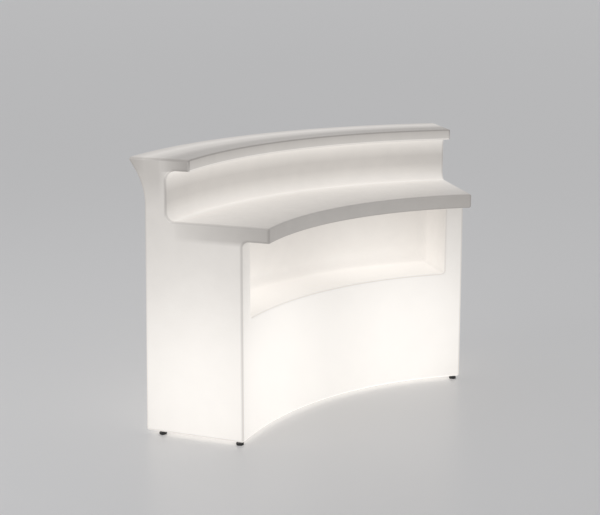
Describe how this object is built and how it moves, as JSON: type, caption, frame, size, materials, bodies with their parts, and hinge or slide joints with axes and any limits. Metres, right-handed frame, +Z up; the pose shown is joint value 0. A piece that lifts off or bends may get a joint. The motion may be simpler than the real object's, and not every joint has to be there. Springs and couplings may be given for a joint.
{
  "type": "bar counter with shelves",
  "caption": "Curved one-piece moulded bar counter lit from inside, with a flared top, a lower worktop, a shelf niche and levelling feet.",
  "frame": {"origin": "on the floor, under the middle of the bounding box", "axes": "+Z up, +X along the counter to the right end as seen from the service side, +Y from the service side to the customer side"},
  "size_m": [1.672, 0.7164, 1.1],
  "materials": {
    "shell_plastic": "satin translucent moulded polyethylene",
    "foot_plastic": "moulded, fine texture",
    "zinc_steel": "zinc plated",
    "insert_brass": "turned",
    "cover_plastic": "moulded",
    "gasket_rubber": "matt",
    "holder_ceramic": "glazed",
    "lamp_cap_metal": "satin",
    "lamp_glass": "opal",
    "gland_plastic": "moulded",
    "terminal_plastic": "moulded",
    "lead_sheath": "smooth"
  },
  "bodies": {
    "counter": {"shell": "shell_plastic", "inner_left_foot_insert": "insert_brass", "outer_left_foot_insert": "insert_brass", "middle_left_foot_insert": "insert_brass", "inner_right_foot_insert": "insert_brass", "outer_right_foot_insert": "insert_brass", "middle_right_foot_insert": "insert_brass", "left_lamp_cover": "cover_plastic", "left_lamp_gasket": "gasket_rubber", "left_cover_screw_1": "zinc_steel", "left_cover_screw_2": "zinc_steel", "left_cover_screw_3": "zinc_steel", "left_cover_screw_4": "zinc_steel", "left_lampholder": "holder_ceramic", "left_holder_screw_1": "zinc_steel", "left_holder_screw_2": "zinc_steel", "left_lamp_cap": "lamp_cap_metal", "left_lamp_globe": "lamp_glass", "left_gland_body": "gland_plastic", "left_gland_lock_nut": "gland_plastic", "left_gland_dome_nut": "gland_plastic", "left_terminal_block": "terminal_plastic", "left_holder_lead": "lead_sheath", "right_lamp_cover": "cover_plastic", "right_lamp_gasket": "gasket_rubber", "right_cover_screw_1": "zinc_steel", "right_cover_screw_2": "zinc_steel", "right_cover_screw_3": "zinc_steel", "right_cover_screw_4": "zinc_steel", "right_lampholder": "holder_ceramic", "right_holder_screw_1": "zinc_steel", "right_holder_screw_2": "zinc_steel", "right_lamp_cap": "lamp_cap_metal", "right_lamp_globe": "lamp_glass", "right_gland_body": "gland_plastic", "right_gland_lock_nut": "gland_plastic", "right_gland_dome_nut": "gland_plastic", "right_terminal_block": "terminal_plastic", "right_holder_lead": "lead_sheath"},
    "inner_left_foot": {"inner_left_foot_pad": "foot_plastic", "inner_left_foot_stem": "zinc_steel"},
    "outer_left_foot": {"outer_left_foot_pad": "foot_plastic", "outer_left_foot_stem": "zinc_steel"},
    "middle_left_foot": {"middle_left_foot_pad": "foot_plastic", "middle_left_foot_stem": "zinc_steel"},
    "inner_right_foot": {"inner_right_foot_pad": "foot_plastic", "inner_right_foot_stem": "zinc_steel"},
    "outer_right_foot": {"outer_right_foot_pad": "foot_plastic", "outer_right_foot_stem": "zinc_steel"},
    "middle_right_foot": {"middle_right_foot_pad": "foot_plastic", "middle_right_foot_stem": "zinc_steel"}
  },
  "joints": [
    {"name": "inner_left_foot_level", "type": "slide", "parent": "counter", "child": "inner_left_foot", "axis": [0, 0, -1], "range_m": [0, 0.015]},
    {"name": "outer_left_foot_level", "type": "slide", "parent": "counter", "child": "outer_left_foot", "axis": [0, 0, -1], "range_m": [0, 0.015]},
    {"name": "middle_left_foot_level", "type": "slide", "parent": "counter", "child": "middle_left_foot", "axis": [0, 0, -1], "range_m": [0, 0.015]},
    {"name": "inner_right_foot_level", "type": "slide", "parent": "counter", "child": "inner_right_foot", "axis": [0, 0, -1], "range_m": [0, 0.015]},
    {"name": "outer_right_foot_level", "type": "slide", "parent": "counter", "child": "outer_right_foot", "axis": [0, 0, -1], "range_m": [0, 0.015]},
    {"name": "middle_right_foot_level", "type": "slide", "parent": "counter", "child": "middle_right_foot", "axis": [0, 0, -1], "range_m": [0, 0.015]}
  ]
}
